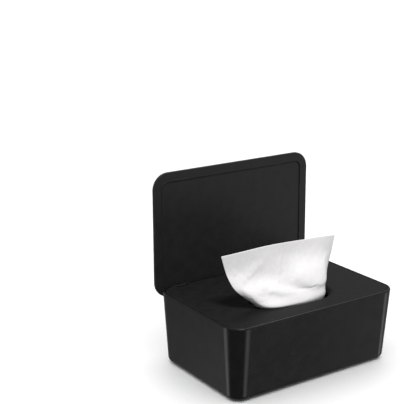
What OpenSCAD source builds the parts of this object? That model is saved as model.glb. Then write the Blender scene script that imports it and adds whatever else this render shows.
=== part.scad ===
// Countertop wipes dispenser: a drafted tub, a drop-in top panel with a rolled opening,
// a flip lid on two pins, a stack of folded wipes and the wipe that stands out of the opening.
// Millimetres, +Z up, the opening's long side along X, the hinge at the rear (+Y).
// The lid is drawn open, leaning a little past upright against its stop.

/* [Tub] */
// Width of the tub at its rim
tub_w = 190; // [170:1:230]
// Depth of the tub at its rim
tub_d = 125; // [115:1:160]
// Height from the tub's underside to its rim
tub_h = 70; // [62:1:100]
// Radius of the tub's upright corners at the rim
corner_r = 17; // [15:0.5:26]
// How far each side leans in between the rim and the underside
side_lean = 5; // [1:0.5:8]
// Thickness of the tub's side walls
tub_wall = 2.2; // [1.6:0.1:3]
// Thickness of the tub's floor
floor_t = 2.4; // [1.6:0.1:4]
// Radius around the tub's outer bottom edge
base_round = 5; // [3:0.5:8]
// Radius around the floor inside
floor_round = 4; // [2:0.5:8]
// Width of the rim that shows around the top panel
rim_t = 2; // [1.4:0.1:2.6]
// Radius along the rim's outer edge
rim_round = 1; // [0.4:0.1:1.3]
// Width of the ledge that the top panel rests on
ledge_w = 3; // [2:0.5:4]
// Thickness of the ledge before its sloping underside
ledge_t = 2; // [1:0.5:4]

/* [Feet] */
// Radius of each silicone foot
foot_r = 7; // [4:0.5:10]
// How far the feet stand proud of the tub
foot_proud = 1; // [0.6:0.1:2]
// Depth of the pocket that each foot is glued into
foot_pocket = 1; // [0.5:0.1:1.4]
// Distance of each foot's centre from the tub's outer sides
foot_inset = 24; // [18:1:40]

/* [Top panel] */
// Thickness of the top panel
panel_t = 2.2; // [1.6:0.1:3]
// Gap between the top panel's edge and the tub's rim
panel_gap = 0.45; // [0.15:0.05:0.6]
// Thickness of the gasket under the top panel
gasket_t = 0.8; // [0.5:0.1:1.5]
// Radius along the top panel's upper edge
panel_edge_round = 0.8; // [0.2:0.1:1]
// Width of the opening at its narrowest
throat_w = 82; // [70:1:110]
// Depth of the opening at its narrowest
throat_d = 44; // [40:1:60]
// How far the opening's centre lies in front of the panel's centre
throat_forward = 16.5; // [4:0.5:18]
// Outer radius of the rolled lip around the opening
lip_r = 6; // [4:0.5:8]
// Length of the straight collar under the rolled lip
collar_h = 2.5; // [1:0.5:5]
// Length of the tabs that locate the panel inside the ledge
locator_h = 5; // [3:0.5:8]
// Thickness of the locating tabs
locator_t = 1.6; // [1:0.1:2.5]
// Width of the locating tabs
locator_w = 24; // [12:1:36]

/* [Hinge] */
// Distance of each hinge's middle from the tub's side
hinge_side = 26; // [26:1:43]
// Depth of the hinge axis below the rim
hinge_drop = 9.8; // [8.5:0.1:12]
// Distance of the hinge axis inside the tub's rear face
hinge_inset = 3.5; // [3.2:0.1:4.5]
// Radius of the hinge pins
pin_r = 1.5; // [1:0.1:1.6]
// Radius of the barrel around each pin
barrel_r = 2.9; // [2.6:0.1:3.4]
// Width of the lid's arms
arm_w = 14; // [10:1:18]
// Thickness of the lid's arms
arm_t = 4.6; // [3.6:0.2:5.2]
// Thickness of the cheeks that hold each pin
cheek_t = 3; // [2:0.2:4]
// Height of the hinge blocks under the panel's face
block_h = 15; // [14:0.5:20]

/* [Lid] */
// How far the closed lid's side and front edges lie inside the tub's rim
lid_reveal = 3.5; // [2:0.5:10]
// Radius of the lid's corners
lid_r = 16; // [14:0.5:24]
// Thickness of the lid along its border
lid_t = 3.5; // [2.5:0.1:4.5]
// Thickness of the lid inside its border
lid_field_t = 3; // [1.4:0.1:3.2]
// Width of the lid's border
border_w = 8; // [8:0.5:13]
// Distance from the hinge axis to the lid's hinge edge
lid_tail = 3.6; // [3:0.1:5]
// Gap between the closed lid's border and the top panel
lid_gap = 0.6; // [0.5:0.1:2]
// Radius along the lid's outer edge
lid_edge_round = 1.4; // [0.6:0.1:1.8]
// Degrees that the open lid leans past upright
open_lean = 1; // [0:0.5:5]
// Width of the lid's silicone seal
seal_w = 1.2; // [1:0.1:2.5]

/* [Wipes] */
// Width of one wipe
wipe_w = 150; // [130:1:160]
// Depth of one folded wipe
folded_d = 100; // [80:1:106]
// Thickness of one folded wipe in the stack
folded_t = 5; // [3:0.5:8]
// Number of folded wipes in the stack
wipe_count = 8; // [3:1:8]
// Thickness of the wipe that stands out of the opening
sheet_t = 0.5; // [0.3:0.1:0.8]

/* [Hidden] */
$fn = 96;

// Running clearance of a pin in a lid arm, and of a pin in its cheeks
arm_clear = 0.05;
cheek_clear = 0.02;
// Gap between parts that move past each other or drop into each other
slide_gap = 0.4;
// Gap between a soft part and what it lies against
soft_gap = 0.15;
// Overlap that joins the solids of one piece
weld = 0.2;
// Overshoot of a cut beyond the face it opens
cut = 1;
// Gap between the folded wipes, and under the lowest
folded_gap = 0.2;
// Gap between the closed lid's seal and the top panel
seal_gap = 0.1;
// How far each end of a hinge pin lies inside its cheek
pin_inset = 0.5;
// Height of the chamfer around the foot's underside
foot_bevel = 0.6;
// Thickness of the wall in front of the hinge slots, and of the walls of the hinge pockets
slot_wall = 1.6;
pocket_wall = 1.8;
// Radius along the lid's edge towards the panel
lid_under_round = 0.5;
// Height of the standing wipe's lower end above the stack
wipe_lift = 3.8;

// Heights above the surface that the feet stand on
tub_z = foot_proud;
rim_z = tub_z + tub_h;
panel_under_z = rim_z - panel_t;
ledge_z = panel_under_z - gasket_t;

// Centres of the upright corners, shared by every piece that follows the tub's outline
corner_x = tub_w / 2 - corner_r;
corner_y = tub_d / 2 - corner_r;

// Angle of the leaning walls, and where the rim's round edge meets them
lean = atan(side_lean / tub_h);
rim_low_z = rim_z - rim_round * (1 + sin(lean));

// Edge of the top panel, and the opening in it
panel_out = corner_r - rim_t - panel_gap;
throat_y = -throat_forward;
throat_r = throat_d / 2;
throat_half_x = throat_w / 2 - throat_r;

// Hinge axis and the block that carries it
hinge_x = tub_w / 2 - hinge_side;
axis_y = tub_d / 2 - hinge_inset;
axis_z = rim_z - hinge_drop;
slot_w = arm_w + 2 * slide_gap;
block_w = slot_w + 2 * cheek_t;
slot_front_y = axis_y - barrel_r - slide_gap;
block_front_y = slot_front_y - slot_wall;
block_rear_y = tub_d / 2 - block_h * tan(lean) - slide_gap;
block_under_z = rim_z - block_h;
slot_floor_z = axis_z - barrel_r - slide_gap;

// The tub's pocket for each hinge block, and the wall around the pocket
pocket_w = block_w + 2 * panel_gap;
pocket_front_y = block_front_y - panel_gap;
pocket_floor_z = block_under_z - panel_gap;

// Lid in its closed place
lid_under_z = rim_z + lid_gap;
lid_top_z = lid_under_z + lid_t;
lid_rear_y = axis_y + lid_tail;
lid_w = tub_w - 2 * lid_reveal;
lid_d = lid_rear_y + tub_d / 2 - lid_reveal;
lid_mid_y = lid_rear_y - lid_d / 2;
lid_corner_x = lid_w / 2 - lid_r;
lid_corner_y = lid_d / 2 - lid_r;
open_angle = 90 + open_lean;

// Stack of folded wipes
stack_z = tub_z + floor_t + folded_gap;
stack_top_z = stack_z + wipe_count * (folded_t + folded_gap);

// Middle of the footprint of the dispenser with its lid open: the row's origin
lid_outer_y = axis_y + lid_tail * cos(open_angle) + (lid_top_z - axis_z) * sin(open_angle);
lid_top_edge_y = lid_outer_y + lid_d * sin(open_lean);
footprint_mid_y = (max(lid_outer_y, lid_top_edge_y) - tub_d / 2) / 2;

// The standing wipe, row by row from the stack to its free edge. Inside the opening each place is
// [share of the opening's half width, share of its half depth, height above the rim]
wipe_foot = stack_top_z + wipe_lift - rim_z;
wipe_inside = [
    [[-0.68, 0.2, wipe_foot], [-0.61, -0.25, wipe_foot], [0, -0.43, wipe_foot],
        [0.46, -0.36, wipe_foot], [0.63, 0.2, wipe_foot]],
    [[-0.83, 0.16, -13], [-0.73, -0.48, -13], [0, -0.75, -13], [0.54, -0.68, -13], [0.78, 0.16, -13]],
    [[-0.96, 0.11, -4], [-0.86, -0.66, -3], [-0.07, -0.88, -3.5], [0.58, -0.84, -3.5], [0.89, 0.11, -4]]];
// Above the rim each place is [x, y, height above the rim], with x and y from the opening's middle
wipe_above = [
    [[-44.6, -6, 2.2], [-41, -16.6, 2.6], [-5, -23.8, 1.8], [24, -22.6, 1.8], [37.5, 0.5, 0.5]],
    [[-53, -3, 7], [-43.5, -20, 6.5], [-4, -21.5, 6.5], [26, -20.5, 5.5], [37, -3.5, 3]],
    [[-61.5, -1.5, 14], [-44, -15.5, 13.5], [-3, -16.5, 12.5], [28, -14.5, 11.5], [41, -6.3, 8]],
    [[-69, -0.6, 23.5], [-45, -8.5, 23], [-3, -9.5, 22], [30, -5.5, 20.5], [52, 3.5, 16]],
    [[-72.3, 2.5, 34], [-46, -0.5, 34], [-3, -0.5, 33.5], [32, 4.5, 32], [62.5, 12.5, 25]],
    [[-70, 10, 47], [-44, 10.5, 47.3], [-2, 13.5, 46.7], [35, 17, 44.2], [72.5, 19.5, 40]]];
wipe_rows = 26;
wipe_columns = 22;

// ---- Shared shapes ----

// Sweeps a profile of (distance out from the corner centres, height) around a rounded rectangle
module sweep_around(half_x, half_y) {
    for (quarter = [[1, 1, 0], [-1, 1, 90], [-1, -1, 180], [1, -1, 270]])
        translate([quarter[0] * half_x, quarter[1] * half_y, 0])
            rotate([0, 0, quarter[2]])
                rotate_extrude(angle = 90) children();
    for (side = [0, 1]) {
        mirror([side, 0, 0]) translate([half_x, half_y, 0])
            rotate([90, 0, 0]) linear_extrude(2 * half_y) children();
        mirror([0, side, 0]) rotate([0, 0, 90]) translate([half_y, half_x, 0])
            rotate([90, 0, 0]) linear_extrude(2 * half_x) children();
    }
}

// Fills the middle of such a sweep between two heights
module fill_middle(half_x, half_y, low_z, high_z) {
    translate([-half_x, -half_y, low_z]) cube([2 * half_x, 2 * half_y, high_z - low_z]);
}

// A rounded rectangle of one outline, as a flat shape
module rounded_rectangle(half_x, half_y, round_r) {
    square([2 * half_x, 2 * (half_y + round_r)], center = true);
    square([2 * (half_x + round_r), 2 * half_y], center = true);
    for (x = [-half_x, half_x], y = [-half_y, half_y]) translate([x, y]) circle(round_r);
}

// How far the leaning outer face lies out from the corner centres at a height
function wall_out(z) = corner_r - rim_round * (1 - cos(lean)) - (rim_low_z - z) * tan(lean);

// One side of the drafted tub as a flat profile, inset from the outer face, with a round foot
module drafted_profile(inset, low_z, high_z, foot_round) {
    round_u = wall_out(low_z) - inset - foot_round * (1 - sin(lean)) / cos(lean);
    polygon([[0, low_z], [round_u, low_z],
        [round_u + foot_round * cos(lean), low_z + foot_round * (1 - sin(lean))],
        [wall_out(high_z) - inset, high_z], [0, high_z]]);
    translate([round_u, low_z + foot_round]) circle(foot_round);
}

// Copies to both hinges
module at_hinges() {
    for (x = [-hinge_x, hinge_x]) translate([x, 0, 0]) children();
}

// A box given by its lowest corner and its highest corner
module box_between(low, high) {
    translate(low) cube(high - low);
}

// Turns a piece drawn with the lid closed to the open lid's place
module lid_open() {
    translate([0, axis_y, axis_z]) rotate([-open_angle, 0, 0])
        translate([0, -axis_y, -axis_z]) children();
}

// A cylinder along X, centred on the middle of its length
module bar_x(bar_r, bar_length) {
    rotate([0, 90, 0]) cylinder(r = bar_r, h = bar_length, center = true);
}

// ---- Tub and what is fixed to it ----

// Outside of the wall, up to the rim's round edge
module tub_outside_profile() {
    round_x = corner_r - rim_round;
    drafted_profile(0, tub_z, rim_low_z, base_round);
    polygon([[0, rim_low_z], [wall_out(rim_low_z), rim_low_z], [round_x, rim_z], [0, rim_z]]);
    intersection() {
        translate([round_x, rim_z - rim_round]) circle(rim_round);
        translate([round_x, rim_low_z]) square(2 * rim_round);
    }
}

// Room inside the wall: up to the ledge's sloping underside, past the ledge, and the panel's seat
module tub_inside_profile() {
    ledge_out = corner_r - rim_t - ledge_w;
    slope_z = ledge_z - ledge_t - ledge_w;
    drafted_profile(tub_wall, tub_z + floor_t, slope_z, floor_round);
    polygon([[0, slope_z], [wall_out(slope_z) - tub_wall, slope_z], [ledge_out, ledge_z - ledge_t],
        [ledge_out, ledge_z], [0, ledge_z]]);
    translate([0, ledge_z]) square([corner_r - rim_t, rim_z - ledge_z + cut]);
}

module hinge_pocket_walls() {
    box_between(
        [-pocket_w / 2 - pocket_wall, pocket_front_y - pocket_wall, pocket_floor_z - pocket_wall],
        [pocket_w / 2 + pocket_wall, tub_d / 2 - tub_wall, ledge_z]);
}

module hinge_pocket() {
    box_between([-pocket_w / 2, pocket_front_y, pocket_floor_z],
        [pocket_w / 2, tub_d / 2 + cut, rim_z + cut]);
}

module tub() {
    color([0.13, 0.13, 0.14]) difference() {
        union() {
            sweep_around(corner_x, corner_y) difference() {
                tub_outside_profile();
                tub_inside_profile();
            }
            fill_middle(corner_x, corner_y, tub_z, tub_z + floor_t);
            at_hinges() hinge_pocket_walls();
        }
        at_hinges() hinge_pocket();
        foot_places() cylinder(r = foot_r + soft_gap, h = 2 * foot_pocket, center = true);
    }
}

module foot_places() {
    for (x = [-1, 1], y = [-1, 1]) at_foot(x, y) children();
}

module at_foot(side_x, side_y) {
    translate([side_x * (tub_w / 2 - foot_inset), side_y * (tub_d / 2 - foot_inset), tub_z])
        children();
}

module foot(side_x, side_y) {
    color([0.2, 0.2, 0.2]) at_foot(side_x, side_y) translate([0, 0, -foot_proud]) {
        cylinder(r1 = foot_r - foot_bevel, r2 = foot_r, h = foot_bevel);
        translate([0, 0, foot_bevel]) cylinder(r = foot_r, h = foot_proud + foot_pocket - foot_bevel);
    }
}

module panel_gasket() {
    outer_r = corner_r - rim_t - soft_gap;
    inner_r = corner_r - rim_t - ledge_w + soft_gap;
    around = pocket_wall - soft_gap;
    color([0.2, 0.2, 0.2]) translate([0, 0, ledge_z]) linear_extrude(gasket_t) difference() {
        union() {
            difference() {
                rounded_rectangle(corner_x, corner_y, outer_r);
                rounded_rectangle(corner_x, corner_y, inner_r);
            }
            intersection() {
                at_hinges() translate([-pocket_w / 2 - around, pocket_front_y - around])
                    square([pocket_w + 2 * around, tub_d / 2]);
                rounded_rectangle(corner_x, corner_y, outer_r);
            }
        }
        at_hinges() translate([-pocket_w / 2 - soft_gap, pocket_front_y - soft_gap])
            square([pocket_w + 2 * soft_gap, tub_d]);
    }
}

// ---- Top panel ----

module panel_edge_profile() {
    polygon([[0, panel_under_z], [panel_out, panel_under_z],
        [panel_out, rim_z - panel_edge_round], [panel_out - panel_edge_round, rim_z], [0, rim_z]]);
    translate([panel_out - panel_edge_round, rim_z - panel_edge_round]) circle(panel_edge_round);
}

// Flat shape of the opening, grown outward by a distance
module opening_shape(grow) {
    square([2 * throat_half_x, 2 * (throat_r + grow)], center = true);
    for (x = [-throat_half_x, throat_half_x]) translate([x, 0]) circle(throat_r + grow);
}

// Half of the rolled lip's section: a quarter ring and the collar under it
module lip_profile() {
    intersection() {
        translate([throat_r + lip_r, rim_z - lip_r]) difference() {
            circle(lip_r);
            circle(lip_r - panel_t);
        }
        translate([throat_r, rim_z - lip_r]) square([lip_r + weld, lip_r]);
    }
    translate([throat_r, rim_z - lip_r - collar_h]) square([panel_t, collar_h + weld]);
    // flat stretch that reaches into the panel
    translate([throat_r + lip_r, panel_under_z]) square([weld, panel_t]);
}

module rolled_lip() {
    translate([0, throat_y, 0]) for (side = [0, 1]) {
        mirror([side, 0, 0]) translate([throat_half_x, 0, 0])
            rotate([0, 0, -90]) rotate_extrude(angle = 180) lip_profile();
        mirror([0, side, 0]) rotate([0, 0, 90]) translate([0, throat_half_x, 0])
            rotate([90, 0, 0]) linear_extrude(2 * throat_half_x) lip_profile();
    }
}

module hinge_block() {
    difference() {
        box_between([-block_w / 2, block_front_y, block_under_z], [block_w / 2, block_rear_y, rim_z]);
        box_between([-slot_w / 2, slot_front_y, slot_floor_z], [slot_w / 2, tub_d, rim_z + cut]);
        translate([0, axis_y, axis_z]) bar_x(pin_r + cheek_clear, block_w + cut);
    }
}

// Tabs that drop inside the ledge and keep the panel from sliding
module locators() {
    reach = corner_r - rim_t - ledge_w - slide_gap;
    low_z = panel_under_z - locator_h;
    for (x = [-corner_x / 2, corner_x / 2])
        translate([x - locator_w / 2, -corner_y - reach, low_z])
            cube([locator_w, locator_t, locator_h + weld]);
    for (side = [0, 1]) mirror([side, 0, 0])
        translate([corner_x + reach - locator_t, -locator_w / 2, low_z])
            cube([locator_t, locator_w, locator_h + weld]);
    translate([-locator_w / 2, corner_y + reach - locator_t, low_z])
        cube([locator_w, locator_t, locator_h + weld]);
}

module top_panel() {
    color([0.12, 0.12, 0.12]) {
        difference() {
            union() {
                sweep_around(corner_x, corner_y) panel_edge_profile();
                fill_middle(corner_x, corner_y, panel_under_z, rim_z);
            }
            translate([0, throat_y, panel_under_z - cut])
                linear_extrude(panel_t + 2 * cut) opening_shape(lip_r);
            at_hinges() box_between([-slot_w / 2, slot_front_y, panel_under_z - cut],
                [slot_w / 2, tub_d, rim_z + cut]);
        }
        rolled_lip();
        at_hinges() hinge_block();
        locators();
    }
}

module hinge_pin(side) {
    color("silver") translate([side * hinge_x, axis_y, axis_z]) bar_x(pin_r, block_w - 2 * pin_inset);
}

// ---- Lid ----

module lid_profile() {
    difference() {
        union() {
            polygon([[0, lid_under_z], [lid_r - lid_under_round, lid_under_z],
                [lid_r, lid_under_z + lid_under_round], [lid_r, lid_top_z - lid_edge_round],
                [lid_r - lid_edge_round, lid_top_z], [0, lid_top_z]]);
            translate([lid_r - lid_edge_round, lid_top_z - lid_edge_round]) circle(lid_edge_round);
            translate([lid_r - lid_under_round, lid_under_z + lid_under_round])
                circle(lid_under_round);
        }
        translate([-cut, lid_under_z - cut])
            square([lid_r - border_w + cut, lid_t - lid_field_t + cut]);
    }
}

module lid_arm() {
    difference() {
        union() {
            translate([0, axis_y, axis_z]) bar_x(barrel_r, arm_w);
            box_between([-arm_w / 2, axis_y - arm_t / 2, axis_z],
                [arm_w / 2, axis_y + arm_t / 2, lid_under_z + weld]);
        }
        translate([0, axis_y, axis_z]) bar_x(pin_r + arm_clear, arm_w + cut);
    }
}

module flip_lid() {
    color([0.12, 0.12, 0.12]) lid_open() {
        translate([0, lid_mid_y, 0]) {
            sweep_around(lid_corner_x, lid_corner_y) lid_profile();
            fill_middle(lid_corner_x, lid_corner_y, lid_top_z - lid_field_t, lid_top_z);
        }
        at_hinges() lid_arm();
    }
}

module lid_seal() {
    seal_top_z = lid_top_z - lid_field_t;
    seal_under_z = rim_z + seal_gap;
    color([0.2, 0.2, 0.2]) lid_open() translate([0, lid_mid_y, 0])
        sweep_around(lid_corner_x, lid_corner_y) translate([lid_r - border_w - seal_w, seal_under_z]) {
            translate([0, seal_w / 2]) square([seal_w, seal_top_z - seal_under_z - seal_w / 2]);
            intersection() {
                translate([seal_w / 2, seal_w / 2]) circle(seal_w / 2);
                square([seal_w, seal_w / 2]);
            }
        }
}

// ---- Wipes ----

// One wipe folded flat: a soft slab whose front and rear folds are round
module folded_wipe() {
    fold_r = folded_t / 2;
    translate([0, 0, fold_r]) {
        cube([wipe_w, folded_d - folded_t, folded_t], center = true);
        for (side = [-1, 1]) translate([0, side * (folded_d / 2 - fold_r), 0])
            bar_x(fold_r, wipe_w);
    }
}

module folded_wipes() {
    color("white") for (i = [0 : wipe_count - 1])
        translate([0, 0, stack_z + i * (folded_t + folded_gap)]) folded_wipe();
}

// A smooth curve through a list of points, for a position that counts up by one a point
function curve_at(points, position) =
    let (last = len(points) - 1,
        i = min(floor(position), last - 1),
        f = position - i,
        p0 = points[max(i - 1, 0)],
        p1 = points[i],
        p2 = points[i + 1],
        p3 = points[min(i + 2, last)])
    0.5 * (2 * p1 + f * (p2 - p0) + f * f * (2 * p0 - 5 * p1 + 4 * p2 - p3)
        + f * f * f * (3 * p1 - p0 - 3 * p2 + p3));

// A soft ridge across the line from one place on the sheet to another
function ridge(across, up, from, to, width) =
    let (along = to - from,
        length2 = along * along,
        share = min(max(((across - from[0]) * along[0] + (up - from[1]) * along[1]) / length2, 0), 1),
        gap = norm([across, up] - from - share * along))
    exp(-pow(gap / width, 2));

// How far the sheet stands forward of its smooth shape, for places 0 to 1 across and up. The folds
// fade out towards the side edges and the opening
function wipe_relief(across, up) =
    (3 * ridge(across, up, [0.66, 0.85], [0.78, 0.70], 0.11)
    + 2.2 * ridge(across, up, [0.12, 0.82], [0.68, 0.50], 0.04)
    - 1.6 * ridge(across, up, [0.20, 0.90], [0.76, 0.62], 0.05)
    + 1.8 * ridge(across, up, [0.06, 0.68], [0.52, 0.46], 0.04)
    + 1 * ridge(across, up, [0.90, 0.94], [0.84, 0.60], 0.05))
    * min(1, 5 * across, 5 * (1 - across), max(0, 5 * up - 2));

wipe_net = concat(
    [for (row = wipe_inside) [for (p = row) [p[0] * throat_w / 2, p[1] * throat_d / 2, p[2]]]],
    wipe_above);

function wipe_point(across, up) =
    let (row = [for (column = [0 : len(wipe_net[0]) - 1])
        curve_at([for (points = wipe_net) points[column]], up * (len(wipe_net) - 1))])
    curve_at(row, across * (len(row) - 1))
        + [0, throat_y - wipe_relief(across, up), rim_z];

// The sheet as one closed skin: its front, its back and a strip around its edge
module pulled_wipe() {
    columns = wipe_columns + 1;
    rows = wipe_rows + 1;
    front = [for (j = [0 : wipe_rows], i = [0 : wipe_columns])
        wipe_point(i / wipe_columns, j / wipe_rows)];
    back = [for (p = front) p + [0, sheet_t, 0]];
    count = len(front);
    cells = [for (j = [0 : wipe_rows - 1], i = [0 : wipe_columns - 1]) j * columns + i];
    border = concat([for (i = [0 : wipe_columns - 1]) i],
        [for (j = [0 : wipe_rows - 1]) j * columns + wipe_columns],
        [for (i = [wipe_columns : -1 : 1]) wipe_rows * columns + i],
        [for (j = [wipe_rows : -1 : 1]) j * columns]);
    edge = len(border);
    faces = concat(
        [for (c = cells) each [[c, c + columns, c + columns + 1], [c, c + columns + 1, c + 1]]],
        [for (c = cells) each [[count + c, count + c + columns + 1, count + c + columns],
            [count + c, count + c + 1, count + c + columns + 1]]],
        [for (k = [0 : edge - 1]) let (a = border[k], b = border[(k + 1) % edge])
            each [[a, b, count + b], [a, count + b, count + a]]]);
    color("white") polyhedron(concat(front, back), faces);
}

// Stands the row's origin in the middle of its footprint
module placed() {
    translate([0, -footprint_mid_y, 0]) children();
}

placed() tub();
placed() foot(-1, -1);  // foot_front_left
placed() foot(1, -1);  // foot_front_right
placed() foot(-1, 1);  // foot_rear_left
placed() foot(1, 1);  // foot_rear_right
placed() panel_gasket();
placed() top_panel();
placed() hinge_pin(-1);  // hinge_pin_left
placed() hinge_pin(1);  // hinge_pin_right
placed() flip_lid();
placed() lid_seal();
placed() folded_wipes();
placed() pulled_wipe();
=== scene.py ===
import math

import bmesh
import bpy
from mathutils import Matrix, Vector, noise


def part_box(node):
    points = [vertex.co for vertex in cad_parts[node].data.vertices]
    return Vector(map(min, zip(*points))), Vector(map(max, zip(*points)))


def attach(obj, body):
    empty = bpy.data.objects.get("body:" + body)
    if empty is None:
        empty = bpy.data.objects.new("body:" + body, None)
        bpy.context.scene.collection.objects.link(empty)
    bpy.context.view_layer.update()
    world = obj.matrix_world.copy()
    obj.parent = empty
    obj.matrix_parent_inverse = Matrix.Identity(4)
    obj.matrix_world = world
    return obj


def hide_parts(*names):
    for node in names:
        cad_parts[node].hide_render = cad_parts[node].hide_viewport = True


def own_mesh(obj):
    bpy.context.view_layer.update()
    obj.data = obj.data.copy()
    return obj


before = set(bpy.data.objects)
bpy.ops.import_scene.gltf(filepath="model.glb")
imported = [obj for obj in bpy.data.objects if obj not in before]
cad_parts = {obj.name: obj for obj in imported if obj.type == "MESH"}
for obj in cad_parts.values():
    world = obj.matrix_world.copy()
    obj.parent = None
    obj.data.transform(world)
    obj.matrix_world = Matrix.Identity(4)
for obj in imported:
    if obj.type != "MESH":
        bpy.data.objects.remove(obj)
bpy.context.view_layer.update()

MM = 0.001

# ---- Places taken from the frame, in metres ----

TUB_LOW, TUB_HIGH = (Vector(corner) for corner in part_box("tub"))
RIM_Z = TUB_HIGH.z
TUB_MID_Y = (TUB_LOW.y + TUB_HIGH.y) / 2
TUB_HALF_X = TUB_HIGH.x
TUB_HALF_Y = (TUB_HIGH.y - TUB_LOW.y) / 2
STACK_LOW, STACK_HIGH = (Vector(corner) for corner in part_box("folded_wipes"))
LID_HIGH = Vector(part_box("flip_lid")[1])

# ---- Driving dimensions of the dispenser ----

CORNER_R = 17 * MM
RIM_T = 2 * MM
PANEL_GAP = 0.45 * MM
LID_CORNER_R = 16 * MM
LID_HALF_Z = 60.8 * MM
THROAT_HALF_X = 41 * MM
THROAT_HALF_Y = 22 * MM
THROAT_FORWARD = 16.5 * MM
THROAT_MID = Vector((0, TUB_MID_Y - THROAT_FORWARD, RIM_Z))

# ---- Wipes: what they were cut to, and how they are packed ----

WIPE_W = 150 * MM
SHEET_T = 0.45 * MM
STANDING_L = 84 * MM
PACKS = 8
LAYERS = 5
PACKED_SHEET_T = SHEET_T * 0.8
FOLD_INSET = 0.3 * MM
SIDE_INSET = 0.4 * MM
LAYER_SLACK = 0.22 * MM
LAYER_DRIFT = 0.3 * MM

# ---- Camera, at the photo's viewing angle ----

AZIMUTH = math.radians(-34.4014)
ELEVATION = math.radians(15.6956)
ROLL = math.radians(0.2254)
LOOK_AT = Vector((-88.4683 * MM, TUB_MID_Y, 169.5074 * MM))
DISTANCE = 0.894711
LENS_PX = 1032.0338
IMAGE_HEIGHT = 404
SENSOR = 36

# ---- Studio: an even glow, soft lobes that the gloss reflects, and soft suns ----

FLOOR_HALF = 6
FLOOR_TONE = 0.9
ROOM_GLOW = 0.44
GROUND_GLOW = 0.32
HORIZON = 0.02
# Share of the room's light that diffuse rays get, so that the white cloth keeps its shading
CLOTH_FILL = 0.7
# [azimuth, elevation, spread in degrees, strength]
ROOM_LIGHT = [
    (308, -12, 20, 0.9),
    (289, -32, 13, 3.5),
    (141, -33, 16, 2.8),
    (335, -30, 12, 2.8)]
# [name, azimuth and elevation that it shines from, its width in degrees, power]
FLOOR_SUN = ("over_table", 0, 90, 110, 3.5)
OBJECT_SUNS = [
    ("front_window", 254, 60, 14, 2.75),
    ("rear_wall", 66, 52, 60, 0.5)]


def make_camera():
    back = Vector((math.sin(AZIMUTH) * math.cos(ELEVATION),
                   -math.cos(AZIMUTH) * math.cos(ELEVATION), math.sin(ELEVATION)))
    right = Vector((math.cos(AZIMUTH), math.sin(AZIMUTH), 0))
    up = back.cross(right)
    turned_right = right * math.cos(ROLL) + up * math.sin(ROLL)
    turned_up = up * math.cos(ROLL) - right * math.sin(ROLL)
    data = bpy.data.cameras.new("photo_camera")
    data.sensor_width = SENSOR
    data.lens = LENS_PX * SENSOR / IMAGE_HEIGHT
    camera = bpy.data.objects.new("photo_camera", data)
    bpy.context.scene.collection.objects.link(camera)
    axes = Matrix((turned_right, turned_up, back)).transposed().to_4x4()
    camera.matrix_world = Matrix.Translation(LOOK_AT + back * DISTANCE) @ axes
    bpy.context.scene.camera = camera


# ---- Small helpers for node trees ----

# Sockets of the Mix node: first value, second value, result
MIX_NUMBERS = (2, 3, 0)
MIX_COLOURS = (6, 7, 2)


def add(tree, kind, inputs=None, **settings):
    """Adds a node, sets its options, and fills or links its inputs."""
    made = tree.nodes.new(kind)
    for name, value in settings.items():
        setattr(made, name, value)
    for name, value in (inputs or {}).items():
        if isinstance(value, bpy.types.NodeSocket):
            tree.links.new(value, made.inputs[name])
        else:
            made.inputs[name].default_value = value
    return made


def calculate(tree, operation, *values, clamp=False):
    return add(tree, "ShaderNodeMath", dict(enumerate(values)), operation=operation,
               use_clamp=clamp).outputs[0]


def blend(tree, share, low, high):
    first, second, result = MIX_NUMBERS
    return add(tree, "ShaderNodeMix", {"Factor": share, first: low, second: high},
               data_type="FLOAT").outputs[result]


def fade(tree, value, start, end):
    """0 before start, 1 after end, with a soft change between them."""
    made = add(tree, "ShaderNodeMapRange", {"Value": value, "From Min": start, "From Max": end},
               interpolation_type="SMOOTHSTEP")
    return made.outputs["Result"]


def cloud(tree, vector, size, detail=2.0, stretch=(1, 1, 1), turn=0.0):
    """Soft noise from 0 to 1 with spots of a size in metres."""
    mapped = add(tree, "ShaderNodeMapping", {"Vector": vector, "Scale": stretch,
                                             "Rotation": (0, 0, turn)}, vector_type="TEXTURE")
    return add(tree, "ShaderNodeTexNoise", {"Vector": mapped.outputs[0], "Scale": 1 / size,
                                            "Detail": detail, "Roughness": 0.55}).outputs["Fac"]


def start_group(name, inputs, outputs):
    group = bpy.data.node_groups.new(name, "ShaderNodeTree")
    for label, kind in inputs.items():
        group.interface.new_socket(label, in_out="INPUT", socket_type=kind)
    for label in outputs:
        group.interface.new_socket(label, in_out="OUTPUT", socket_type="NodeSocketFloat")
    given = group.nodes.new("NodeGroupInput").outputs
    result = group.nodes.new("NodeGroupOutput").inputs
    return group, given, result


def start_material(name, specular, metallic=0.0):
    material = bpy.data.materials.new(name)
    material.use_nodes = True
    shader = material.node_tree.nodes["Principled BSDF"]
    shader.inputs["Specular IOR Level"].default_value = specular
    shader.inputs["Metallic"].default_value = metallic
    return material, material.node_tree, shader


def object_place(tree):
    return add(tree, "ShaderNodeTexCoord").outputs["Object"]


def two_tones(tree, shader, share, dark, light):
    first, second, result = MIX_COLOURS
    colour = add(tree, "ShaderNodeMix", {"Factor": share, first: (*dark, 1), second: (*light, 1)},
                 data_type="RGBA")
    tree.links.new(colour.outputs[result], shader.inputs["Base Color"])


def relief(tree, shader, height, strength, distance):
    bump = add(tree, "ShaderNodeBump",
               {"Height": height, "Strength": strength, "Distance": distance})
    tree.links.new(bump.outputs[0], shader.inputs["Normal"])


# ---- Effects shared by the materials ----

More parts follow.
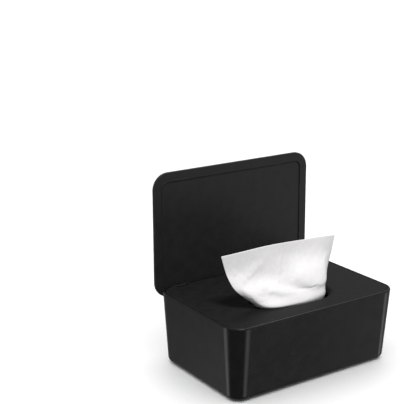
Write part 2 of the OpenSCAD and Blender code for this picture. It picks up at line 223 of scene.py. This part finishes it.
def moulded_surface():
    """Spark-eroded mould texture, with slight uneven gloss and the smudges of handling."""
    group, given, result = start_group("moulded_surface", {"Place": "NodeSocketVector"},
                                       ["Grain", "Mottle", "Smudge"])
    fine = cloud(group, given["Place"], size=0.35 * MM)
    coarse = cloud(group, given["Place"], size=1.1 * MM)
    mottle = cloud(group, given["Place"], size=9 * MM, detail=3)
    smear = cloud(group, given["Place"], size=26 * MM, detail=4, stretch=(1.0, 1.6, 1.0), turn=0.5)
    group.links.new(blend(group, 0.35, fine, coarse), result["Grain"])
    group.links.new(fade(group, mottle, 0.3, 0.7), result["Mottle"])
    group.links.new(fade(group, smear, 0.52, 0.74), result["Smudge"])
    return group


def rounded_outline():
    """Distance of a place inside a rounded rectangle's outline, for edges painted paler as rubbed wear
    and highlight.
    """
    group, given, result = start_group(
        "rounded_outline", {"Across": "NodeSocketFloat", "Along": "NodeSocketFloat",
                            "Half Across": "NodeSocketFloat", "Half Along": "NodeSocketFloat",
                            "Corner": "NodeSocketFloat"}, ["Inside"])
    past = []
    for place, half in (("Across", "Half Across"), ("Along", "Half Along")):
        straight = calculate(group, "SUBTRACT", given[half], given["Corner"])
        past.append(calculate(group, "SUBTRACT", calculate(group, "ABSOLUTE", given[place]), straight))
    squares = [calculate(group, "POWER", calculate(group, "MAXIMUM", way, 0.0), 2.0) for way in past]
    reach = calculate(group, "SQRT", calculate(group, "ADD", *squares))
    flat = calculate(group, "MINIMUM", calculate(group, "MAXIMUM", *past), 0.0)
    outside = calculate(group, "ADD", reach, flat)
    group.links.new(calculate(group, "SUBTRACT", given["Corner"], outside), result["Inside"])
    return group


def nonwoven_web():
    """Fibres laid mostly one way, pressed into shallow dimples, in a slightly cloudy web."""
    group, given, result = start_group("nonwoven_web", {"Place": "NodeSocketVector"},
                                       ["Fibre", "Web", "Height"])
    strands = None
    for turn, thickness in ((0.15, 0.12), (-0.35, 0.14), (1.1, 0.13), (2.2, 0.16)):
        strand = cloud(group, given["Place"], thickness * MM, detail=1, stretch=(7, 1, 1), turn=turn)
        strands = strand if strands is None else calculate(group, "MAXIMUM", strands, strand)
    fibre = fade(group, strands, 0.52, 0.78)
    web = cloud(group, given["Place"], size=3.5 * MM, detail=3)
    dimple_size = 1.5 * MM
    dimples = add(group, "ShaderNodeTexVoronoi", {"Vector": given["Place"], "Scale": 1 / dimple_size,
                                                  "Randomness": 0.25},
                  voronoi_dimensions="2D", feature="SMOOTH_F1")
    pressed = fade(group, dimples.outputs["Distance"], 0.1, 0.5)
    group.links.new(fibre, result["Fibre"])
    group.links.new(fade(group, web, 0.3, 0.72), result["Web"])
    group.links.new(calculate(group, "ADD", calculate(group, "MULTIPLY", fibre, 0.5), pressed),
                    result["Height"])
    return group


EFFECTS = {group.name: group for group in (moulded_surface(), rounded_outline(), nonwoven_web())}


def place_effect(tree, name, inputs):
    return add(tree, "ShaderNodeGroup", inputs, node_tree=EFFECTS[name]).outputs


# ---- Materials ----

def inside_outline(tree, across, along, half_across, half_along, corner):
    return place_effect(tree, "rounded_outline",
                        {"Across": across, "Along": along, "Half Across": half_across,
                         "Half Along": half_along, "Corner": corner})["Inside"]


def black_plastic(name, specular, dark, light, satin, dull, grain, wear_and_highlight):
    """Satin black ABS: near-black, with mould texture, uneven gloss, and paler edges that are partly
    rubbed wear and partly a painted highlight.
    """
    material, tree, shader = start_material(name, specular)
    place = object_place(tree)
    surface = place_effect(tree, "moulded_surface", {"Place": place})
    mottle = surface["Mottle"]
    # Edges are made paler: partly rubbed wear, partly a painted highlight along them
    worn_and_highlighted = calculate(tree, "MULTIPLY", wear_and_highlight(tree, place), blend(tree, mottle, 0.5, 1.0))
    tone = calculate(tree, "ADD", calculate(tree, "MULTIPLY", mottle, 0.5), worn_and_highlighted, clamp=True)
    two_tones(tree, shader, tone, dark, light)
    smudge = calculate(tree, "MULTIPLY", surface["Smudge"], 0.03)
    gloss = calculate(tree, "SUBTRACT", blend(tree, mottle, satin, dull), smudge)
    tree.links.new(gloss, shader.inputs["Roughness"])
    relief(tree, shader, surface["Grain"], 0.25, grain)
    return material


def rim_wear_and_highlight(tree, place):
    """Paler line along the rim, partly rubbed wear and partly a painted highlight: near the outline
    and near the rim's height.
    """
    parts = add(tree, "ShaderNodeSeparateXYZ", {"Vector": place})
    along = calculate(tree, "SUBTRACT", parts.outputs["Y"], TUB_MID_Y)
    inside = inside_outline(tree, parts.outputs["X"], along, TUB_HALF_X, TUB_HALF_Y, CORNER_R)
    edge = fade(tree, inside, 1.3 * MM, 0.4 * MM)
    high = fade(tree, parts.outputs["Z"], RIM_Z - 2 * MM, RIM_Z - 0.6 * MM)
    return calculate(tree, "MULTIPLY", edge, high)


def panel_wear_and_highlight(tree, place):
    """Paler line along the top panel's edge and over the rolled lip, partly rubbed wear and partly a
    painted highlight.
    """
    parts = add(tree, "ShaderNodeSeparateXYZ", {"Vector": place})
    high = fade(tree, parts.outputs["Z"], RIM_Z - 1.6 * MM, RIM_Z - 0.2 * MM)
    along = calculate(tree, "SUBTRACT", parts.outputs["Y"], TUB_MID_Y)
    setback = RIM_T + PANEL_GAP
    inside = inside_outline(tree, parts.outputs["X"], along, TUB_HALF_X - setback,
                            TUB_HALF_Y - setback, CORNER_R - setback)
    edge = fade(tree, inside, 1.2 * MM, 0.2 * MM)
    to_throat = calculate(tree, "SUBTRACT", parts.outputs["Y"], THROAT_MID.y)
    inside_throat = inside_outline(tree, parts.outputs["X"], to_throat,
                                   THROAT_HALF_X, THROAT_HALF_Y, THROAT_HALF_Y)
    lip = fade(tree, inside_throat, -6 * MM, -2 * MM)
    return calculate(tree, "MULTIPLY", calculate(tree, "MAXIMUM", edge, lip), high)


def lid_wear_and_highlight(tree, place):
    """Paler line around the lid's edge, partly rubbed wear and partly a painted highlight."""
    parts = add(tree, "ShaderNodeSeparateXYZ", {"Vector": place})
    middle = LID_HIGH.z - LID_HALF_Z
    along = calculate(tree, "SUBTRACT", parts.outputs["Z"], middle)
    inside = inside_outline(tree, parts.outputs["X"], along, LID_HIGH.x, LID_HALF_Z, LID_CORNER_R)
    return fade(tree, inside, 1.2 * MM, 0.2 * MM)


def black_silicone():
    """Dull silicone with a little dust on it."""
    material, tree, shader = start_material("black_silicone", specular=0.3)
    surface = place_effect(tree, "moulded_surface", {"Place": object_place(tree)})
    two_tones(tree, shader, surface["Smudge"], (0.009, 0.009, 0.009), (0.022, 0.021, 0.020))
    tree.links.new(blend(tree, surface["Mottle"], 0.55, 0.72), shader.inputs["Roughness"])
    relief(tree, shader, surface["Grain"], 0.2, 0.02 * MM)
    return material


def drawn_steel():
    """Bright drawn wire: fine lines along the pin, slightly stained."""
    material, tree, shader = start_material("drawn_steel", specular=0.5, metallic=1.0)
    place = object_place(tree)
    lines = cloud(tree, place, size=0.12 * MM, stretch=(60, 1, 1))
    stain = cloud(tree, place, size=4 * MM, detail=3)
    two_tones(tree, shader, stain, (0.50, 0.49, 0.47), (0.68, 0.68, 0.67))
    tree.links.new(blend(tree, lines, 0.22, 0.4), shader.inputs["Roughness"])
    relief(tree, shader, lines, 0.3, 0.01 * MM)
    return material


def wipe_cloth(name, thin, thick, dimple):
    """Soft white nonwoven: cloudy web, laid fibres, shallow dimples and a slight sheen."""
    material, tree, shader = start_material(name, specular=0.12)
    cut = add(tree, "ShaderNodeUVMap", uv_map="cut")
    web = place_effect(tree, "nonwoven_web", {"Place": cut.outputs[0]})
    share = calculate(tree, "MULTIPLY_ADD", web["Fibre"], 0.35,
                      calculate(tree, "MULTIPLY", web["Web"], 0.65), clamp=True)
    two_tones(tree, shader, share, thin, thick)
    tree.links.new(blend(tree, web["Fibre"], 0.85, 0.7), shader.inputs["Roughness"])
    shader.inputs["Sheen Weight"].default_value = 0.15
    shader.inputs["Sheen Roughness"].default_value = 0.5
    relief(tree, shader, web["Height"], 0.35, dimple)
    return material


def give(obj, material):
    obj.data.materials.clear()
    obj.data.materials.append(material)


# ---- The standing wipe ----

# Rows from the stack to the free edge, each from the sheet's left edge to its right edge.
# Inside the opening: [share of its half width, share of its half depth, mm above the rim]
FOOT_ABOVE_STACK = 3.8 * MM
WIPE_FOOT = (STACK_HIGH.z + FOOT_ABOVE_STACK - RIM_Z) / MM
WIPE_INSIDE = [
    [(-0.68, 0.2, WIPE_FOOT), (-0.68, -0.15, WIPE_FOOT), (-0.45, -0.34, WIPE_FOOT),
     (-0.1, -0.43, WIPE_FOOT), (0.22, -0.41, WIPE_FOOT), (0.5, -0.32, WIPE_FOOT),
     (0.65, 0.05, WIPE_FOOT)],
    [(-0.82, 0.2, -13), (-0.82, -0.35, -13), (-0.55, -0.66, -13), (-0.12, -0.75, -13),
     (0.27, -0.74, -13), (0.6, -0.6, -13), (0.82, -0.1, -13)],
    [(-0.94, -0.02, -4), (-0.92, -0.46, -3.5), (-0.6, -0.84, -3), (-0.14, -0.95, -3.5),
     (0.29, -0.95, -3.5), (0.68, -0.76, -3.5), (0.96, -0.26, -4)]]
# Above the rim: [x, y, height] in mm from the opening's middle
WIPE_ABOVE = [
    [(-45.5, -7, 2.3), (-43.5, -17, 2), (-31, -22, 1.4), (-8, -22.2, 1.2), (11, -22.1, 1.2),
     (27.5, -18, 1.2), (39.3, -5.5, 0.5)],
    [(-55, -9.5, 9.5), (-47, -16, 7.5), (-30, -17, 8), (-7, -17, 8), (15, -19, 7),
     (29.5, -15.5, 6), (40.8, -4, 5)],
    [(-65.5, -7.5, 18.3), (-49.5, -12, 15.5), (-30, -11, 15), (-8, -12.5, 14.5), (15, -16, 13),
     (32.5, -13.5, 12), (44.5, -0.5, 10)],
    [(-70.4, -5, 26.3), (-51.5, -5, 25.5), (-30, -4.5, 25), (-8, -5.5, 24.5), (15.5, -11, 23),
     (35, -8, 21), (51.5, 4.5, 19.4)],
    [(-73.7, -2, 36.3), (-53.5, -2.5, 36), (-30.5, -3.8, 38), (-7.5, -3.4, 38), (16, -2.5, 35),
     (38.5, 1, 32.5), (58.3, 8, 29.5)],
    [(-78.7, -2, 51.9), (-55, -2.6, 52.6), (-31, -3, 53.3), (-7.5, -2.8, 52.6),
     (16.5, 0.5, 50.2), (40, 5, 47.6), (63.5, 10, 43.8)]]
# Folds as [crest, reach above it, reach below it]. A crest is a line of places
# [share across, share up, how far it stands forward in mm]. Reaches are shares of the sheet.
WIPE_FOLDS = [
    ([(0.32, 0.82, 0.3), (0.44, 0.75, 3.0), (0.56, 0.72, 5.0), (0.65, 0.63, 3.0),
      (0.75, 0.50, 0.5)], 0.11, 0.085),
    ([(0.22, 0.78, 0.5), (0.34, 0.62, 3.8), (0.50, 0.44, 3.4)], 0.09, 0.07),
    ([(0.04, 0.80, 0.5), (0.11, 0.66, 1.5), (0.17, 0.42, 1.5)], 0.12, 0.08)]
WIPE_COLUMNS = 84
WIPE_ROWS = 56

# How the sheet settles: how much too large it is, for how long, and how firmly it is held
SETTLE_SLACK = 0.004
SETTLE_FRAMES = 20
HELD_UP_TO = 0.42
EDGE_GRIP = 0.9
LEAST_GRIP = 0.03


def curve_at(points, position):
    """A smooth curve through points, for a position that counts up by one a point."""
    last = len(points) - 1
    i = min(int(position), last - 1)
    f = position - i
    p0, p1, p2, p3 = points[max(i - 1, 0)], points[i], points[i + 1], points[min(i + 2, last)]
    return 0.5 * (2 * p1 + f * (p2 - p0) + f * f * (2 * p0 - 5 * p1 + 4 * p2 - p3)
                  + f * f * f * (3 * p1 - p0 - 3 * p2 + p3))


def wipe_net():
    inside = [[Vector((x * THROAT_HALF_X, y * THROAT_HALF_Y, z * MM)) for x, y, z in row]
              for row in WIPE_INSIDE]
    return inside + [[Vector(place) * MM for place in row] for row in WIPE_ABOVE]


def fold_height(place, crest, above, below):
    """How far a fold stands forward: most on its crest, easing off farther above than below."""
    heights = []
    for (x0, y0, start), (x1, y1, end) in zip(crest, crest[1:]):
        along = Vector((x1 - x0, y1 - y0))
        offset = place - Vector((x0, y0))
        share = min(max(offset.dot(along) / along.length_squared, 0), 1)
        height = start + share * (end - start)
        away = offset - share * along
        if away.length < 1e-6:
            return height
        side = 0.5 + 0.5 * (along.x * away.y - along.y * away.x) / (along.length * away.length)
        reach = below + side * (above - below)
        heights.append(height * math.exp(-(away.length / reach) ** 2))
    return max(heights)


def fold_freedom(across, up):
    """Folds fade out towards the sheet's four sides, and none stands out in the opening."""
    from_left = 12 * across
    from_right = 4.5 * (1 - across)
    from_opening = max(0, 5 * up - 2)
    from_free_edge = 8 * (1 - up)
    return min(1, from_left, from_right, from_opening, from_free_edge)


def wipe_point(net, across, up):
    row = [curve_at([points[i] for points in net], up * (len(net) - 1)) for i in range(len(net[0]))]
    folds = sum(fold_height(Vector((across, up)), *fold) for fold in WIPE_FOLDS)
    forward = fold_freedom(across, up) * MM * folds
    return THROAT_MID + curve_at(row, across * (len(row) - 1)) - Vector((0, forward, 0))


def grid_share(index, columns, rows):
    """Where a point of a grid lies, as its shares across and along."""
    return index % (columns + 1) / columns, index // (columns + 1) / rows


def sheet_mesh(name, columns, rows, place, width, length):
    """A grid of quads with its flat cut size, in metres, as its UV map."""
    shape = bmesh.new()
    bmesh.ops.create_grid(shape, x_segments=columns, y_segments=rows, size=1)
    shape.verts.index_update()
    cut = shape.loops.layers.uv.new("cut")
    for face in shape.faces:
        face.smooth = True
        for loop in face.loops:
            across, along = grid_share(loop.vert.index, columns, rows)
            loop[cut].uv = (across * width, along * length)
    for vertex in shape.verts:
        vertex.co = place(*grid_share(vertex.index, columns, rows))
    mesh = bpy.data.meshes.new(name)
    shape.to_mesh(mesh)
    shape.free()
    piece = bpy.data.objects.new(name, mesh)
    bpy.context.scene.collection.objects.link(piece)
    return piece


def wipe_grip(index):
    """The opening holds the sheet, and its edges hold their shape more than its middle does."""
    across, up = grid_share(index, WIPE_COLUMNS, WIPE_ROWS)
    if up < HELD_UP_TO:
        return 1.0
    from_edge = min(across, 1 - across, 1 - up)
    return max(LEAST_GRIP, EDGE_GRIP - 9 * from_edge, 1 - 8 * (up - HELD_UP_TO))


def relax_sheet(piece, slack, frames, grip):
    """Lets a sheet that is a little too large for its shape settle into soft folds of its own."""
    held = piece.vertex_groups.new(name="held")
    for vertex in piece.data.vertices:
        held.add([vertex.index], grip(vertex.index), "REPLACE")
    cloth = piece.modifiers.new("settle", "CLOTH")
    cloth.point_cache.frame_start = 1
    cloth.point_cache.frame_end = frames
    settings = cloth.settings
    settings.quality = 8
    settings.mass = 0.0006
    settings.air_damping = 2
    settings.tension_stiffness = 12
    settings.compression_stiffness = 12
    settings.shear_stiffness = 6
    settings.bending_stiffness = 0.1
    settings.shrink_min = -slack
    settings.shrink_max = -slack
    settings.vertex_group_mass = "held"
    settings.pin_stiffness = 0.6
    settings.effector_weights.gravity = 0.05
    cloth.collision_settings.use_collision = False
    for step in range(1, frames + 1):
        bpy.context.scene.frame_set(step)
    graph = bpy.context.evaluated_depsgraph_get()
    settled = bpy.data.meshes.new_from_object(piece.evaluated_get(graph))
    piece.modifiers.remove(cloth)
    bpy.context.scene.frame_set(1)
    for vertex, moved in zip(piece.data.vertices, settled.vertices):
        vertex.co = moved.co
    bpy.data.meshes.remove(settled)
    piece.vertex_groups.clear()


def thicken(piece, thickness):
    """Gives a sheet its thickness, half of it to each side."""
    solid = piece.modifiers.new("thickness", "SOLIDIFY")
    solid.thickness = thickness
    solid.offset = 0


def soften(piece, levels):
    smooth = piece.modifiers.new("soft", "SUBSURF")
    smooth.levels = smooth.render_levels = levels


def standing_wipe():
    net = wipe_net()
    piece = sheet_mesh("standing_wipe", WIPE_COLUMNS, WIPE_ROWS,
                       lambda across, up: wipe_point(net, across, up), WIPE_W, STANDING_L)
    relax_sheet(piece, SETTLE_SLACK, SETTLE_FRAMES, wipe_grip)
    thicken(piece, SHEET_T)
    soften(piece, 1)
    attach(piece, "wipe")
    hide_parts("pulled_wipe")
    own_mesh(piece)
    return piece


# ---- The folded wipes ----

PACK_COLUMNS = 30
LAYER_ROWS = 22
# Waves of the slack layers in a metre, and the share of the depth that leaves room for drift
WAVES = 45
DEPTH_SHARE = 0.997
DRIFT_BACK = 0.4


def folded_strip(index, low_z, high_z):
    """One pack of the stack: a strip folded back and forth, with slightly slack layers."""
    depth = (STACK_HIGH.y - STACK_LOW.y) / 2
    pitch = (high_z - low_z - SHEET_T) / (LAYERS - 1)
    round_r = pitch / 2
    run = 2 * (depth - round_r - FOLD_INSET)
    bend = math.pi * round_r
    length = LAYERS * run + (LAYERS - 1) * bend
    mid_y = (STACK_LOW.y + STACK_HIGH.y) / 2
    half_x = (STACK_HIGH.x - STACK_LOW.x) / 2 - SIDE_INSET

    def place(across, along):
        way = along * length
        layer = min(int(way / (run + bend)), LAYERS - 1)
        rest = way - layer * (run + bend)
        side = 1 if layer % 2 == 0 else -1
        z = low_z + SHEET_T / 2 + layer * pitch
        if rest <= run:
            y = side * (rest - run / 2)
        else:
            angle = (rest - run) / round_r
            y = side * (run / 2 + round_r * math.sin(angle))
            z += round_r * (1 - math.cos(angle))
        x = (2 * across - 1) * half_x
        # The factors of index and layer only give each of them its own place in the noise
        slack = noise.noise(Vector((x * WAVES, y * WAVES, index * 3.7))) * LAYER_SLACK
        drift = noise.noise(Vector((layer * 0.9, index * 2.3, 0.5))) * LAYER_DRIFT
        near_middle = math.sin(math.pi * (z - low_z) / (high_z - low_z))
        return Vector((x + drift, mid_y + y * DEPTH_SHARE + DRIFT_BACK * drift,
                       z + slack * near_middle))

    piece = sheet_mesh("folded_wipes_%d" % (index + 1), PACK_COLUMNS, LAYERS * LAYER_ROWS, place,
                       WIPE_W, length)
    thicken(piece, PACKED_SHEET_T)
    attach(piece, "tub")
    return piece


def folded_wipes():
    height = (STACK_HIGH.z - STACK_LOW.z) / PACKS
    pieces = [folded_strip(i, STACK_LOW.z + i * height, STACK_LOW.z + (i + 1) * height)
              for i in range(PACKS)]
    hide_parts("folded_wipes")
    return pieces


# ---- Stage ----

def make_floor():
    mesh = bpy.data.meshes.new("floor")
    shape = bmesh.new()
    bmesh.ops.create_grid(shape, x_segments=1, y_segments=1, size=FLOOR_HALF)
    shape.to_mesh(mesh)
    shape.free()
    floor = bpy.data.objects.new("floor", mesh)
    bpy.context.scene.collection.objects.link(floor)
    material, _, shader = start_material("pale_floor", specular=0.3)
    shader.inputs["Base Color"].default_value = (FLOOR_TONE, FLOOR_TONE, FLOOR_TONE, 1)
    shader.inputs["Roughness"].default_value = 0.5
    give(floor, material)
    floor.visible_glossy = False
    floor.visible_diffuse = False
    return floor


def direction_to(azimuth, elevation):
    azimuth = math.radians(azimuth)
    elevation = math.radians(elevation)
    return Vector((math.cos(azimuth) * math.cos(elevation),
                   math.sin(azimuth) * math.cos(elevation), math.sin(elevation)))


def make_world():
    """An even glow above the horizon and below it, with soft lobes for the gloss."""
    world = bpy.data.worlds.new("studio")
    bpy.context.scene.world = world
    world.use_nodes = True
    tree = world.node_tree
    direction = add(tree, "ShaderNodeTexCoord").outputs["Generated"]
    height = add(tree, "ShaderNodeSeparateXYZ", {"Vector": direction}).outputs["Z"]
    light = blend(tree, fade(tree, height, -HORIZON, HORIZON), GROUND_GLOW, ROOM_GLOW)
    for azimuth, elevation, spread, power in ROOM_LIGHT:
        nearness = add(tree, "ShaderNodeVectorMath",
                       {0: direction, 1: direction_to(azimuth, elevation)},
                       operation="DOT_PRODUCT").outputs["Value"]
        lobe = fade(tree, nearness, math.cos(math.radians(spread)), 1.0)
        light = calculate(tree, "ADD", light, calculate(tree, "MULTIPLY", lobe, power))
    diffuse = add(tree, "ShaderNodeLightPath").outputs["Is Diffuse Ray"]
    strength = calculate(tree, "MULTIPLY", light, blend(tree, diffuse, 1.0, CLOTH_FILL))
    background = tree.nodes["Background"]
    tree.links.new(strength, background.inputs["Strength"])
    background.inputs["Color"].default_value = (1, 1, 1, 1)


def add_sun(name, azimuth, elevation, width, power, lit):
    data = bpy.data.lights.new(name, "SUN")
    data.angle = math.radians(width)
    data.energy = power
    lamp = bpy.data.objects.new(name, data)
    bpy.context.scene.collection.objects.link(lamp)
    lamp.rotation_euler = direction_to(azimuth, elevation).to_track_quat("Z", "Y").to_euler()
    lamp.light_linking.receiver_collection = lit


def make_suns(floor):
    """The floor has a sun of its own, and the others light all but the floor."""
    floor_only = bpy.data.collections.new("floor_only")
    floor_only.objects.link(floor)
    all_but_floor = bpy.data.collections.new("all_but_floor")
    all_but_floor.objects.link(floor)
    all_but_floor.collection_objects[0].light_linking.link_state = "EXCLUDE"
    add_sun(*FLOOR_SUN, floor_only)
    for sun in OBJECT_SUNS:
        add_sun(*sun, all_but_floor)


make_camera()
make_world()
make_suns(make_floor())
bpy.context.scene.view_settings.view_transform = "Standard"

# ---- Finishes of the pieces ----

tub_plastic = black_plastic(
    "tub_plastic", specular=0.17, dark=(0.006, 0.006, 0.0065), light=(0.010, 0.010, 0.011),
    satin=0.24, dull=0.27, grain=0.004 * MM, wear_and_highlight=rim_wear_and_highlight)
panel_plastic = black_plastic(
    "panel_plastic", specular=0.06, dark=(0.0105, 0.0105, 0.011), light=(0.017, 0.017, 0.017),
    satin=0.5, dull=0.58, grain=0.05 * MM, wear_and_highlight=panel_wear_and_highlight)
lid_plastic = black_plastic(
    "lid_plastic", specular=0.17, dark=(0.015, 0.015, 0.0155), light=(0.023, 0.023, 0.023),
    satin=0.38, dull=0.46, grain=0.03 * MM, wear_and_highlight=lid_wear_and_highlight)
silicone = black_silicone()
steel = drawn_steel()
standing_white = wipe_cloth("wipe_nonwoven", thin=(0.85, 0.835, 0.845), thick=(0.91, 0.90, 0.905),
                            dimple=0.05 * MM)
packed_white = wipe_cloth("packed_nonwoven", thin=(0.76, 0.75, 0.76), thick=(0.88, 0.875, 0.88),
                          dimple=0.1 * MM)

FINISHES = {"tub": tub_plastic, "top_panel": panel_plastic, "flip_lid": lid_plastic,
            "hinge_pin_left": steel, "hinge_pin_right": steel}
for name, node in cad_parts.items():
    give(node, FINISHES.get(name, silicone))

give(standing_wipe(), standing_white)
for pack in folded_wipes():
    give(pack, packed_white)
